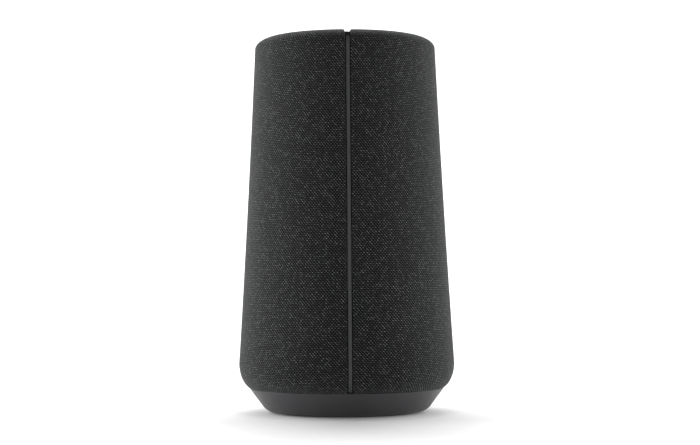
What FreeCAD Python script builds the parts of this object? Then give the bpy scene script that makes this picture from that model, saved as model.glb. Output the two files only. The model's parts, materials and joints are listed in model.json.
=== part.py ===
import FreeCAD, Part
import math
import os

# A tall round smart speaker. A knitted sleeve covers the tapering body, a plain skirt is its foot.
# Millimetres. The origin is the centre of the foot on the table, +Z is up and the front faces -Y.
# The sleeve's seam runs down the back, on +Y.

Vector = FreeCAD.Vector

# ---- Driving dimensions ----

# Outside of the sleeve, from the skirt to the top rim
height = 253.0
widest_r = 72.5
widest_z = 33.3
side_top_r = 60.85
side_top_z = 244.7
side_hollow = 0.5
rim_run = 16.0
rim_rise = height - side_top_z
hem_r = 65.1
hem_z = 16.4
hem_turn = math.radians(68.8)

# Layers of the wall, as depths below the outside of the sleeve
sleeve_thick = 1.4
frame_out = 1.5
frame_in = 3.6
rib_out = 1.0
flange_out = 3.7
flange_in = 5.0
cabinet_depth = 5.7

# Seam down the back
seam_slot = 4.2
seam_rib = 2.8
seam_frame_slot = 3.2
seam_flange = 9.0
seam_end_r = 58.3

# Base
skirt_top_r = 65.6
skirt_top_z = 16.2
skirt_low_z = 0.6
skirt_lean = math.radians(36.5)
skirt_edge_r = 10.2
skirt_wall = 2.4
skirt_bore_r = 47.9
cover_r = 47.6
cover_z = 1.2
cover_top = 3.6
foot_in = 38.5
foot_out = 46.8
shelf_in = 53.5
shelf_z = 14.2
ledge_in = 43.5
ledge_z = 3.8
ledge_top = 6.0

# Power inlet under the base: the plug's bay and the lead's way out at the side
inlet_y = -10.0
bay_x0 = -36.0
bay_x1 = -13.0
bay_half = 6.5
bay_top = 14.5
bay_wall = 2.0
lead_half = 3.0
lead_top = 6.5
plug_r = 2.8
plug_axis_z = 9.0

# Boards
power_board_z = 17.5
board_thick = 1.6
power_board_r = 44.0
main_board_z = 227.0
main_board_r = 46.0
post_ring_r = 36.0
standoff_ring_r = 41.0
key_board_z = 240.0
key_board_r = 41.5

# Chassis and speaker cabinet
chassis_z = 38.0
chassis_top = 40.5
chassis_r = 62.0
cabinet_top = 222.0
cabinet_wall = 2.5
baffle_y = 38.0
joint_half = 0.5
woofer_z = 104.0
tweeter_z = 180.0
radiator_z = 104.0

# Top deck and keys
deck_r = 38.4
deck_top = 250.6
deck_thick = 2.2
deck_dish = 0.5
light_in = 38.9
light_out = 40.6
bezel_in = 41.0
bezel_out = 42.7
collar_in = 44.4
collar_out = 46.4
key_gap = 0.35
key_ring_r = 24.0
small_key_r = 6.0
play_key_r = 9.5
key_stand = 0.5
mic_ring_r = 31.0


# ---- Small helpers ----

def box(x0, x1, y0, y1, z0, z1):
    return Part.makeBox(x1 - x0, y1 - y0, z1 - z0, Vector(x0, y0, z0))


def disc(radius, z0, z1, x=0.0, y=0.0):
    return Part.makeCylinder(radius, z1 - z0, Vector(x, y, z0))


def ring(inner, outer, z0, z1):
    return disc(outer, z0, z1).cut(disc(inner, z0 - 1, z1 + 1))


def around(count, radius, start=0.0):
    """Points spaced evenly round the axis, with the angle of each in degrees."""
    spots = []
    for number in range(count):
        angle = start + 360.0 * number / count
        spots.append((radius * math.cos(math.radians(angle)), radius * math.sin(math.radians(angle)), angle))
    return spots


def fused(shapes):
    whole = shapes[0]
    for shape in shapes[1:]:
        whole = whole.fuse(shape)
    return whole.removeSplitter()


def group(shapes):
    return Part.makeCompound(shapes)


def at(r, z):
    return Vector(r, 0, z)


def line(a, b):
    return Part.LineSegment(a, b).toShape()


def arc(a, b, c):
    return Part.Arc(a, b, c).toShape()


def smooth(points):
    curve = Part.BSplineCurve()
    curve.interpolate(points)
    return curve.toShape()


def turned(edges):
    """The solid of revolution about Z whose half section is bounded by these edges."""
    face = Part.Face(Part.Wire(Part.__sortEdges__(edges)))
    return face.revolve(Vector(0, 0, 0), Vector(0, 0, 1), 360)


def turned_outline(points):
    loop = [at(r, z) for r, z in points]
    edges = [line(a, b) for a, b in zip(loop, loop[1:] + loop[:1])]
    return turned(edges)


def rounded(shape, radius, test):
    """The shape with a fillet on each edge that the test picks."""
    edges = [edge for edge in shape.Edges if test(edge)]
    return shape.makeFillet(radius, edges)


def save(name, shape):
    shape.exportStep("parts/" + name + ".step")


# ---- The outside of the sleeve, and surfaces a set depth below it ----

def inset_ellipse(centre_r, centre_z, semi_r, semi_z, angle, depth):
    """A point on an ellipse, moved inwards along its normal."""
    normal_r = math.cos(angle) / semi_r
    normal_z = math.sin(angle) / semi_z
    size = math.hypot(normal_r, normal_z)
    r = centre_r + semi_r * math.cos(angle) - depth * normal_r / size
    z = centre_z + semi_z * math.sin(angle) - depth * normal_z / size
    return at(r, z)


def lower_curve(depth):
    """From the hem up to the widest level."""
    semi_r = (widest_r - hem_r) / (1 - math.cos(hem_turn))
    semi_z = (widest_z - hem_z) / math.sin(hem_turn)
    steps = 8
    angles = [-hem_turn * (steps - step) / steps for step in range(steps + 1)]
    return [inset_ellipse(widest_r - semi_r, widest_z, semi_r, semi_z, angle, depth) for angle in angles]


def rim_curve(depth):
    """From the top of the side over to the crest of the rim."""
    lean = (widest_r - side_top_r) / (side_top_z - widest_z)
    first = math.atan(lean * rim_rise / rim_run)
    steps = 8
    angles = [first + (math.pi / 2 - first) * step / steps for step in range(steps + 1)]
    centre_r = side_top_r - rim_run
    return [inset_ellipse(centre_r, side_top_z, rim_run, rim_rise, angle, depth) for angle in angles]


def side_curve(low, high):
    """The tapering side between two points, drawn in a little at its middle."""
    steps = 4
    points = []
    for step in range(steps + 1):
        share = step / steps
        hollow = 4 * side_hollow * share * (1 - share)
        points.append(low + (high - low) * share - Vector(hollow, 0, 0))
    return points


def side_edges(depth):
    """The wall line from the hem to the crest, as three edges, with its first and last points."""
    lower = lower_curve(depth)
    rim = rim_curve(depth)
    edges = [smooth(lower), smooth(side_curve(lower[-1], rim[0])), smooth(rim)]
    return edges, lower[0], rim[-1]


def side_r(z, depth):
    """Radius of the tapering side at a height, ignoring its slight hollow."""
    share = (z - widest_z) / (side_top_z - widest_z)
    return widest_r + (side_top_r - widest_r) * share - depth


def wall_layer(outer, inner):
    """A layer of the wall between two depths, from the hem to the crest."""
    outside, outside_low, outside_high = side_edges(outer)
    inside, inside_low, inside_high = side_edges(inner)
    caps = [line(outside_low, inside_low), line(outside_high, inside_high)]
    return turned(outside + inside + caps)


def side_layer(outer, inner):
    """A layer of the tapering side alone."""
    outside = side_curve(lower_curve(outer)[-1], rim_curve(outer)[0])
    inside = side_curve(lower_curve(inner)[-1], rim_curve(inner)[0])
    caps = [line(outside[0], inside[0]), line(outside[-1], inside[-1])]
    return turned([smooth(outside), smooth(inside)] + caps)


# ---- Sleeve, frame and seam ----

def fabric_sleeve():
    """The knitted sleeve. It rolls over the rim and tucks down inside, and it is open along the seam."""
    outside, outside_low, outside_high = side_edges(0.0)
    inside, inside_low, inside_high = side_edges(sleeve_thick)
    tuck_out = bezel_out + 0.2
    tuck_in = tuck_out + sleeve_thick
    roll_r = outside_high.x - tuck_out
    roll_end = at(tuck_out, height - roll_r)
    halfway = math.sin(math.pi / 4)
    roll_middle = at(outside_high.x - roll_r * halfway, height - roll_r * (1 - halfway))
    tuck_z = height - 4.4
    edges = outside + inside
    edges.append(line(outside_low, inside_low))
    edges.append(arc(outside_high, roll_middle, roll_end))
    edges.append(line(roll_end, at(tuck_out, tuck_z)))
    edges.append(line(at(tuck_out, tuck_z), at(tuck_in, tuck_z)))
    edges.append(line(at(tuck_in, tuck_z), at(tuck_in, inside_high.z)))
    edges.append(line(at(tuck_in, inside_high.z), inside_high))
    sleeve = turned(edges)
    return sleeve.cut(box(-seam_slot / 2, seam_slot / 2, 0, 90, 0, 260))


def grille_frame():
    """The open cage that the sleeve is stretched over, with the shelf that holds the key board."""
    low = cage_foot_r()
    skin = wall_layer(frame_out, frame_in)
    foot = ring(low - 3.4, low, skirt_top_z, hem_z + 4.1)
    collar = ring(collar_in, collar_out, key_board_z - 2.0, height - frame_in - 0.2)
    shelf = ring(key_board_r - 2.5, collar_out, key_board_z - 2.0, key_board_z)
    spokes = [radial_bar(58.0, collar_out - 1.0, 4.0, key_board_z - 2.0, key_board_z, angle)
              for _, _, angle in around(6, 1.0, 0.0)]
    cage = fused([skin, foot, collar, shelf] + spokes)
    windows = []
    for row in range(7):
        low_z = 42.0 + 28.0 * row
        for _, _, angle in around(20, 1.0, 9.0):
            windows.append(radial_bar(80.0, 50.0, 11.0, low_z, low_z + 22.0, angle))
    cage = cage.cut(group(windows))
    slot = box(-seam_frame_slot / 2, seam_frame_slot / 2, seam_end_r - 0.3, 90, hem_z + 4.1, 260)
    return cage.cut(slot)


def cage_foot_r():
    """Outer radius of the cage's foot, just inside the sleeve's hem."""
    return hem_r - 1.2


def radial_bar(outer, inner, width, z0, z1, angle):
    bar = box(inner, outer, -width / 2, width / 2, z0, z1)
    bar.rotate(Vector(0, 0, 0), Vector(0, 0, 1), angle)
    return bar


def seam_strip():
    """A T-section strip. Its rib stands in the frame's slot, its flange is held behind the frame
    and its tongue runs on down over the frame's foot."""
    rib = wall_layer(rib_out, flange_out + 0.3)
    rib = rib.common(box(-seam_rib / 2, seam_rib / 2, seam_end_r, 90, hem_z + 4.4, 260))
    tongue = wall_layer(rib_out, frame_out)
    tongue = tongue.common(box(-seam_rib / 2, seam_rib / 2, seam_end_r, 90, hem_z + 0.5, hem_z + 5.0))
    flange = side_layer(flange_out, flange_in)
    flange_top = key_board_z - 3.0
    flange = flange.common(box(-seam_flange / 2, seam_flange / 2, seam_end_r, 90, widest_z, flange_top))
    return rib.fuse([tongue, flange]).removeSplitter()


# ---- Base ----

def base_skirt():
    """The plain tapering skirt, with the shelf that carries the frame and a ledge for the cover."""
    corner_r = skirt_top_r - (skirt_top_z - skirt_low_z) * math.tan(skirt_lean)
    turn = math.pi / 2 - skirt_lean
    reach = skirt_edge_r * math.tan(turn / 2)
    side_foot = at(corner_r + reach * math.sin(skirt_lean), skirt_low_z + reach * math.cos(skirt_lean))
    floor_edge = at(corner_r - reach, skirt_low_z)
    centre = at(corner_r - reach, skirt_low_z + skirt_edge_r)
    middle = centre + Vector(math.sin(turn / 2), 0, -math.cos(turn / 2)) * skirt_edge_r
    wall_across = skirt_wall / math.cos(skirt_lean)
    wall_r = skirt_top_r - wall_across - (skirt_top_z - shelf_z) * math.tan(skirt_lean)
    wall_low_r = skirt_top_r - wall_across - (skirt_top_z - ledge_top) * math.tan(skirt_lean)
    points = [at(skirt_bore_r, skirt_low_z), at(skirt_bore_r, ledge_z), at(ledge_in, ledge_z),
              at(ledge_in, ledge_top), at(wall_low_r, ledge_top), at(wall_r, shelf_z), at(shelf_in, shelf_z),
              at(shelf_in, skirt_top_z), at(skirt_top_r, skirt_top_z), side_foot]
    edges = [line(a, b) for a, b in zip(points, points[1:])]
    edges.append(arc(side_foot, middle, floor_edge))
    edges.append(line(floor_edge, points[0]))
    skirt = turned(edges)
    return skirt.cut(lead_way())


def lead_way():
    """The space through the base's edge for the lead."""
    return box(-80, bay_x0 + 1, inlet_y - lead_half, inlet_y + lead_half, -1, lead_top)


def screw(head_r, head_h, shaft_r, length, blank=False):
    """A pan-head screw that points up, with its head's underside at z = 0.

    A blank has no cross in its head, and cuts the hole that the screw fills."""
    whole = disc(head_r, -head_h, 0).fuse(disc(shaft_r, 0, length))
    if blank:
        return whole
    reach = head_r * 0.6
    cross = box(-reach, reach, -0.3, 0.3, -head_h - 1, -head_h + 0.5)
    cross = cross.fuse(box(-0.3, 0.3, -reach, reach, -head_h - 1, -head_h + 0.5))
    return whole.cut(cross).removeSplitter()


def placed(part, turn_x, x, y, z):
    part.rotate(Vector(0, 0, 0), Vector(1, 0, 0), turn_x)
    part.translate(Vector(x, y, z))
    return part


def bottom_screws(blank=False):
    middle = (ledge_in + skirt_bore_r) / 2 - 0.4
    length = ledge_top - cover_z - 1.0
    return [placed(screw(1.6, 1.0, 0.9, length, blank), 0, x, y, cover_z + 1.0)
            for x, y, _ in around(6, middle, 15.0)]


def bottom_cover():
    """The disc under the base, with the plug's bay pressed up into it and posts for the power board."""
    plate = disc(cover_r, cover_z, cover_top)
    low_y = inlet_y - bay_half
    high_y = inlet_y + bay_half
    pan_x0 = bay_x0 - bay_wall
    pan_x1 = bay_x1 + bay_wall
    pan = box(pan_x0, pan_x1, low_y - bay_wall, high_y + bay_wall, cover_z, bay_top + bay_wall)
    posts = [disc(3.0, cover_top - 1.0, power_board_z, x, y) for x, y, _ in around(4, post_ring_r, 45.0)]
    body = fused([plate, pan] + posts)
    body = body.cut(box(bay_x0, bay_x1, low_y, high_y, -1, bay_top))
    body = body.cut(lead_way())
    body = body.cut(inlet_block(0.0))
    body = body.cut(disc(service_hole_r, -1, cover_top + 1, service_x, service_y))
    return body.cut(group(bottom_screws(True) + board_screws(True)))


def foot_ring():
    """The rubber ring that stands on the table, open where the lead leaves."""
    foot = ring(foot_in, foot_out, 0.0, cover_z)
    foot = rounded(foot, 0.5, lambda edge: edge.BoundBox.ZMax < 0.01 and edge.Length > 200)
    return foot.cut(lead_way())


def inlet_block(grow):
    return box(bay_x1, bay_x1 + 14, inlet_y - 4.5 - grow, inlet_y + 4.5 + grow, 4.0 - grow, 15.0 + grow)


def power_inlet():
    """The low-voltage socket. Its mouth faces the plug's bay."""
    block = inlet_block(0.0)
    mouth = Part.makeCylinder(plug_r, 11.0, Vector(bay_x1 - 0.5, inlet_y, plug_axis_z), Vector(1, 0, 0))
    legs = [box(x, x + 1.2, inlet_y - 1.5, inlet_y + 1.5, 15.0, power_board_z) for x in (-9.0, -3.5)]
    return fused([block.cut(mouth)] + legs)


def inlet_pin():
    start = Vector(bay_x1 + 1.5, inlet_y, plug_axis_z)
    pin = Part.makeCylinder(0.95, 9.0, start, Vector(1, 0, 0))
    return rounded(pin, 0.5, lambda edge: abs(edge.BoundBox.XMax - start.x) < 0.01)


service_x = 18.0
service_y = -20.0
service_hole_r = 3.4


def service_button():
    """The small button under the base. It is pressed upwards."""
    cap = disc(service_hole_r - 0.35, cover_z + 0.5, 4.0, service_x, service_y)
    flange = disc(service_hole_r + 1.0, 4.0, 5.0, service_x, service_y)
    stem = disc(1.4, 5.0, 12.0, service_x, service_y)
    return fused([cap, flange, stem])


def service_switch():
    body = box(service_x - 3, service_x + 3, service_y - 3, service_y + 3, 13.5, power_board_z)
    return body.fuse(disc(1.5, 12.9, 13.5, service_x, service_y))


def power_board():
    return disc(power_board_r, power_board_z, power_board_z + board_thick).cut(group(board_screws(True)))


def power_parts():
    """The converter's capacitors, coil and controller."""
    z = power_board_z + board_thick
    cans = [disc(5.0, z, z + 14.0, x, y) for x, y, _ in around(3, 27.0, 60.0)]
    coil = ring(4.0, 9.0, z, z + 8.0)
    coil.translate(Vector(-6, -22, 0))
    chips = [box(8, 17, -8, 1, z, z + 1.6), box(-12, -4, 4, 10, z, z + 2.2)]
    plug = box(24, 34, -7, 7, z, z + 6.0)
    return cans + [coil] + chips + [plug]


def board_screws(blank=False):
    low = [placed(screw(2.4, 1.4, 1.3, 6.0, blank), 180, x, y, power_board_z + board_thick)
           for x, y, _ in around(4, post_ring_r, 45.0)]
    high = [placed(screw(2.4, 1.4, 1.3, board_thick + 3.0, blank), 180, x, y, main_board_z + board_thick)
            for x, y, _ in around(4, standoff_ring_r, 45.0)]
    return low + high


def chassis():
    """The plate over the power board, on four legs that stand on the skirt's shelf."""
    plate = disc(chassis_r, chassis_z, chassis_top)
    legs = [disc(3.0, skirt_top_z, chassis_z, x, y) for x, y, _ in around(4, 57.0, 45.0)]
    passage = disc(8.0, 0, 60, 30, 0)
    return fused([plate] + legs).cut(passage)


# ---- Speaker cabinet ----

def cabinet_body(depth, cut_y, z0, z1):
    low_r = side_r(z0, cabinet_depth + depth)
    high_r = side_r(z1, cabinet_depth + depth)
    cone = Part.makeCone(low_r, high_r, z1 - z0, Vector(0, 0, z0))
    return cone.common(box(-90, 90, -cut_y, cut_y, z0, z1))


def clamp_places():
    places = []
    for side in (-1, 1):
        places.append((side * 42.0, 56.0))
        places.append((side * 42.0, 104.0))
        places.append((side * 42.0, 152.0))
        places.append((side * 34.0, 210.0))
    return places


def along_y(radius, y0, y1, x, z):
    return Part.makeCylinder(radius, y1 - y0, Vector(x, y0, z), Vector(0, 1, 0))


def cabinet_wall_solid():
    outer = cabinet_body(0.0, baffle_y, chassis_top, cabinet_top)
    floor = chassis_top + cabinet_wall
    roof = cabinet_top - cabinet_wall
    inner = cabinet_body(cabinet_wall, baffle_y - cabinet_wall, floor, roof)
    shell = outer.cut(inner)
    bosses = [along_y(4.0, 1.0 - baffle_y, baffle_y - 1.0, x, z) for x, z in clamp_places()]
    shell = fused([shell] + bosses)
    shell = shell.cut(along_y(woofer_hole_r, -60, -20, 0, woofer_z))
    shell = shell.cut(along_y(tweeter_hole_r, -60, -20, 0, tweeter_z))
    shell = shell.cut(along_y(radiator_hole_r, 20, 60, 0, radiator_z))
    return shell.cut(disc(lead_r, 200, 240, lead_x, lead_y))


def cabinet_screws(blank=False):
    return [placed(screw(3.0, 1.8, 1.4, 48.0, blank), 90, x, baffle_y, z) for x, z in clamp_places()]


def cabinet_half(shell, front):
    if front:
        return shell.common(box(-90, 90, -90, -joint_half, 0, 260))
    return shell.common(box(-90, 90, joint_half, 90, 0, 260))


def cabinet_gasket(shell):
    return shell.common(box(-90, 90, -joint_half, joint_half, 0, 260))


def damping_pad():
    """The block of soft wadding behind the tweeter."""
    pad = box(-26, 26, 12, baffle_y - cabinet_wall - 0.3, 150, 200)
    return rounded(pad, 4.0, lambda edge: abs(edge.BoundBox.YLength) > 10)


lead_r = 1.6
lead_x = 12.0
lead_y = 4.0
tag_y = 30.0


def woofer_lead():
    """The lead from the main board through the cabinet's top to the woofer's tags."""
    top = Vector(lead_x, lead_y, main_board_z)
    corner = Vector(lead_x, lead_y, woofer_z + tag_y)
    end = Vector(lead_x, -baffle_y - basket_low, woofer_z + tag_y)
    down = Vector(0, 0, -1)
    out = (end - corner).normalize()
    turn = down.getAngle(out)
    radius = 0.45 * (end - corner).Length / math.tan(turn / 2)
    reach = radius * math.tan(turn / 2)
    start = corner - down * reach
    finish = corner + out * reach
    centre_way = (out - down).normalize()
    centre = corner + centre_way * (radius / math.cos(turn / 2))
    middle = centre - centre_way * radius
    path = Part.Wire([line(top, start), arc(start, middle, finish), line(finish, end)])
    section = Part.Wire(Part.makeCircle(lead_r, top, down))
    return path.makePipeShell([section], True, True)


# ---- Woofer, passive radiator and tweeter ----
# Each is drawn with its axis on Z and its front up, and the baffle's face at z = 0.

woofer_r = 46.0
woofer_hole_r = 39.0
gasket_thick = 0.8
basket_low = -20.4
plate_z = -22.0
roll_r = 3.2
skin = 0.6


def to_front(shape, z):
    shape.rotate(Vector(0, 0, 0), Vector(1, 0, 0), 90)
    shape.translate(Vector(0, -baffle_y, z))
    return shape


def to_back(shape, z):
    shape.rotate(Vector(0, 0, 0), Vector(1, 0, 0), -90)
    shape.translate(Vector(0, baffle_y, z))
    return shape


def half_roll(inner, outer, z, lip):
    """A flexible surround: a half-round roll between two flat lips."""
    middle = (inner + outer) / 2
    high = (outer - inner) / 2
    edges = [arc(at(inner, z + skin), at(middle, z + skin + high), at(outer, z + skin)),
             line(at(outer, z + skin), at(outer + lip, z + skin)),
             line(at(outer + lip, z + skin), at(outer + lip, z)),
             line(at(outer + lip, z), at(outer - skin, z)),
             arc(at(outer - skin, z), at(middle, z + high - skin / 2), at(inner + skin, z)),
             line(at(inner + skin, z), at(inner - lip, z)),
             line(at(inner - lip, z), at(inner - lip, z + skin)),
             line(at(inner - lip, z + skin), at(inner, z + skin))]
    return turned(edges)


flange_z = 2.8
cone_out_r = 31.0
coil_in = 9.9
coil_out = 10.9


def woofer_basket():
    frame = turned_outline([(37.0, gasket_thick), (37.0, flange_z), (woofer_r, flange_z),
                            (woofer_r, gasket_thick), (38.6, gasket_thick), (26.0, basket_low),
                            (26.0, plate_z), (13.0, plate_z), (13.0, basket_low), (24.4, basket_low)])
    windows = []
    for _, _, angle in around(6, 1.0, 30.0):
        windows.append(radial_bar(45.0, 26.0, 15.0, -18.5, -3.0, angle))
    frame = frame.cut(group(windows))
    ledge = ring(21.5, 26.0, -15.4, -14.3)
    posts = [radial_bar(28.4, 23.0, 5.0, basket_low, -15.4, angle) for _, _, angle in around(6, 1.0, 0.0)]
    tags = box(lead_x - 3, lead_x + 3, tag_y - 4, tag_y + 3, basket_low, basket_low + 4.0)
    return fused([frame, ledge, tags] + posts)


def woofer_cone():
    """The cone, from the surround down to the coil's former."""
    return turned_outline([(cone_out_r, flange_z), (cone_out_r, flange_z - 0.7), (coil_in + 0.9, -10.6),
                           (coil_in + 0.3, -10.6), (coil_in + 0.3, -9.4), (cone_out_r - 2.2, flange_z)])


def domed(rim_r, rise, thick, z):
    """A thin cap cut from a ball, with its rim at z."""
    ball_r = (rim_r * rim_r + rise * rise) / (2 * rise)
    centre = Vector(0, 0, z + rise - ball_r)
    shell = Part.makeSphere(ball_r, centre).cut(Part.makeSphere(ball_r - thick, centre))
    return shell.common(disc(rim_r, z, z + rise + 1))


def dust_cap():
    """The domed cap that closes the cone's middle."""
    return domed(14.0, 4.0, 0.6, -6.6)


def voice_coil():
    former = ring(coil_in, coil_in + 0.3, -29.0, -9.4)
    winding = ring(coil_in + 0.3, coil_out, -29.0, -19.5)
    return former.fuse(winding).removeSplitter()


def spider():
    """The corrugated disc that centres the coil."""
    inner = coil_in + 0.3
    outer = 24.0
    waves = 4
    steps = 24
    upper = []
    lower = []
    for step in range(steps + 1):
        share = step / steps
        r = inner + (outer - inner) * share
        z = -13.0 + 0.7 * math.sin(2 * math.pi * waves * share)
        upper.append(at(r, z))
        lower.append(at(r, z - 0.5))
    edges = [smooth(upper), smooth(lower), line(upper[0], lower[0]), line(upper[-1], lower[-1])]
    return turned(edges)


def woofer_magnet():
    return ring(17.0, 29.0, -38.0, -26.0)


def woofer_top_plate():
    return ring(coil_out + 0.6, 27.0, -26.0, -22.0)


def woofer_yoke():
    plate = disc(27.0, -42.0, -38.0)
    pole = disc(coil_in - 0.5, -38.0, -22.0)
    return plate.fuse(pole).cut(disc(3.0, -43, -21)).removeSplitter()


def flange_screws(count, radius, z, length, turn_out, centre_z, blank):
    return [turn_out(placed(screw(2.2, 1.3, 1.2, length, blank), 180, x, y, z), centre_z)
            for x, y, _ in around(count, radius, 45.0)]


tweeter_r = 25.0
tweeter_hole_r = 17.5
dome_r = 9.5


def tweeter_plate():
    """The faceplate, with a shallow horn down to the dome."""
    return turned_outline([(13.2, 0.0), (13.2, 0.8), (20.0, 2.6), (tweeter_r, 2.6), (tweeter_r, 0.0)])


def tweeter_dome():
    return domed(dome_r, 3.4, 0.35, 0.4)


def tweeter_coil():
    return ring(dome_r - 0.7, dome_r, -3.4, 0.4)


def tweeter_surround():
    return half_roll(dome_r + 0.5, 12.4, 0.4, 0.5)


def tweeter_motor():
    pot = disc(16.0, -12.0, -0.4)
    gap = ring(dome_r - 1.2, dome_r + 0.5, -5.0, 0.0)
    chamber = ring(dome_r + 0.5, 13.4, -2.0, 0.0)
    return pot.cut(gap).cut(chamber)


radiator_r = 37.0
radiator_hole_r = 32.0
radiator_plate_r = 22.0


def radiator_frame():
    return ring(radiator_hole_r - 2.0, radiator_r, 0.0, 2.4)


def radiator_plate():
    """The weighted plate of the passive radiator."""
    plate = disc(radiator_plate_r, 1.2, 2.4)
    weight = disc(14.0, -4.0, 1.2)
    return plate.fuse(weight).removeSplitter()


def radiator_surround():
    return half_roll(radiator_plate_r + 0.7, radiator_hole_r - 2.2, 2.4, 1.6)


# ---- Boards above the cabinet ----

def main_board():
    return disc(main_board_r, main_board_z, main_board_z + board_thick).cut(group(board_screws(True)))


def standoffs():
    bore = disc(1.3, main_board_z - 3.0, main_board_z)
    posts = []
    for x, y, _ in around(4, standoff_ring_r, 45.0):
        hole = bore.copy()
        hole.translate(Vector(x, y, 0))
        posts.append(disc(2.6, cabinet_top, main_board_z, x, y).cut(hole))
    return posts


def main_parts():
    """Shield can, memory, amplifier, coils and connectors on the main board."""
    z = main_board_z + board_thick
    can = rounded(box(-30, -8, 4, 26, z, z + 3.0), 1.0, lambda edge: edge.BoundBox.ZLength > 2)
    memory = box(-4, 8, 8, 17, z, z + 1.2)
    coils = [rounded(box(x, x + 8, -34, -26, z, z + 5.0), 1.2, lambda edge: edge.BoundBox.ZLength > 2)
             for x in (-14.0, -3.0, 8.0)]
    sockets = [box(-34, -28, -14, 0, z, z + 5.0), box(12, 24, 19, 25, z, z + 5.0)]
    cans = [disc(3.2, z, z + 7.0, x, -16.0) for x in (-22.0, -14.0)]
    return [can, memory] + coils + sockets + cans


def heat_sink():
    z = main_board_z + board_thick
    base = box(4, 34, -20, 4, z, z + 2.0)
    fins = [box(x, x + 1.4, -20, 4, z + 2.0, z + 9.0) for x in [4.0 + 4.08 * n for n in range(8)]]
    return fused([base] + [fin.common(box(4, 34, -20, 4, z, z + 9.0)) for fin in fins])


def antenna():
    """The bent metal strip antenna at the board's edge."""
    z = main_board_z + board_thick
    foot = box(-6, 6, 36, 40, z, z + 0.4)
    wall = box(-6, 6, 40, 40.4, z, z + 6.0)
    arm = box(-16, 6, 37, 40, z + 5.6, z + 6.0)
    return fused([foot, wall, arm])


def ribbon_cable():
    """The flat cable up to the key board."""
    x = -31.0
    return box(x - 0.2, x + 0.2, -13, -1, main_board_z + board_thick + 5.0, key_board_z)


def key_board():
    return disc(key_board_r, key_board_z, key_board_z + board_thick)


def key_places():
    """Each key's name, centre and radius."""
    return [("play_key", 0.0, 0.0, play_key_r),
            ("volume_up_key", key_ring_r, 0.0, small_key_r),
            ("volume_down_key", -key_ring_r, 0.0, small_key_r),
            ("mic_key", 0.0, key_ring_r, small_key_r)]


def key_switches():
    z = key_board_z + board_thick
    switches = []
    for _, x, y, _ in key_places():
        body = box(x - 3, x + 3, y - 3, y + 3, z, z + 2.0)
        switches.append(body.fuse(disc(1.5, z + 2.0, z + 2.6, x, y)))
    return switches


def light_parts():
    """The small lamps under the light ring."""
    z = key_board_z + board_thick
    middle = (light_in + light_out) / 2
    return [box(x - 0.8, x + 0.8, y - 0.8, y + 0.8, z, z + 0.9) for x, y, _ in around(12, middle, 15.0)]


def mic_parts():
    z = key_board_z + board_thick
    return [box(x - 1.6, x + 1.6, y - 1.3, y + 1.3, z, z + 1.1) for x, y, _ in around(4, mic_ring_r, 45.0)]


def mic_seals():
    """Rubber tubes that lead sound from the deck's holes down to each microphone."""
    z = key_board_z + board_thick + 1.1
    seals = []
    for x, y, _ in around(4, mic_ring_r, 45.0):
        tube = disc(2.2, z, deck_top - deck_thick, x, y)
        seals.append(tube.cut(disc(0.8, z - 1, 260, x, y)))
    return seals


# ---- Top deck ----

def dish(depth_below):
    """A lens that takes the slight hollow out of a flat top of the deck's size."""
    ball_r = (deck_r * deck_r + deck_dish * deck_dish) / (2 * deck_dish)
    return Part.makeSphere(ball_r, Vector(0, 0, deck_top - depth_below + ball_r - deck_dish))


def top_deck():
    """The top plate, with holes for the keys and microphones and a skirt that stands on the key board."""
    plate = disc(deck_r, deck_top - deck_thick, deck_top + 0.01).cut(dish(0.0))
    skirt = ring(deck_r - 1.8, deck_r, key_board_z + board_thick, deck_top - deck_thick)
    deck = fused([plate, skirt])
    for _, x, y, radius in key_places():
        deck = deck.cut(disc(radius + key_gap, 240, 260, x, y))
    for x, y, _ in around(4, mic_ring_r, 45.0):
        deck = deck.cut(disc(0.8, 240, 260, x, y))
    return deck


def key(x, y, radius):
    """A key: a cap with a hollowed top, a flange that keeps it under the deck, and a stem."""
    cap_top = deck_top + key_stand - (deck_dish if x == 0 and y == 0 else deck_dish * 0.6)
    under = deck_top - deck_thick - deck_dish - 0.35
    cap = disc(radius, under, cap_top)
    hollow_r = (radius * radius + 0.16) / 0.8
    cap = rounded(cap, 0.4, lambda edge: edge.BoundBox.ZMin > cap_top - 0.01)
    cap = cap.cut(Part.makeSphere(hollow_r, Vector(0, 0, cap_top - 0.35 + hollow_r)))
    flange = disc(radius + 1.2, under - 1.0, under)
    stem = disc(1.6, key_board_z + board_thick + 3.4, under - 1.0)
    whole = fused([cap, flange, stem])
    whole.translate(Vector(x, y, 0))
    return whole


def light_ring():
    ring_solid = ring(light_in, light_out, key_board_z + board_thick + 1.6, deck_top + 0.2)
    return rounded(ring_solid, 0.25, lambda edge: edge.BoundBox.ZMin > deck_top + 0.19)


def top_bezel():
    """The slim ring between the light ring and the sleeve."""
    bezel = ring(bezel_in, bezel_out, key_board_z + board_thick, deck_top + 0.9)
    return rounded(bezel, 0.5, lambda edge: edge.BoundBox.ZMin > deck_top + 0.89)


# ---- Build ----

def build_housing():
    save("fabric_sleeve", fabric_sleeve())
    save("seam_strip", seam_strip())
    save("grille_frame", grille_frame())
    save("base_skirt", base_skirt().cut(group(bottom_screws(True))))
    save("bottom_cover", bottom_cover())
    save("bottom_screws", group(bottom_screws()))
    save("foot_ring", foot_ring())


def build_power():
    save("power_inlet", power_inlet())
    save("inlet_pin", inlet_pin())
    save("service_button", service_button())
    save("service_switch", service_switch())
    save("power_board", power_board())
    save("power_parts", group(power_parts()))
    save("board_screws", group(board_screws()))
    save("chassis", chassis())


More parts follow.
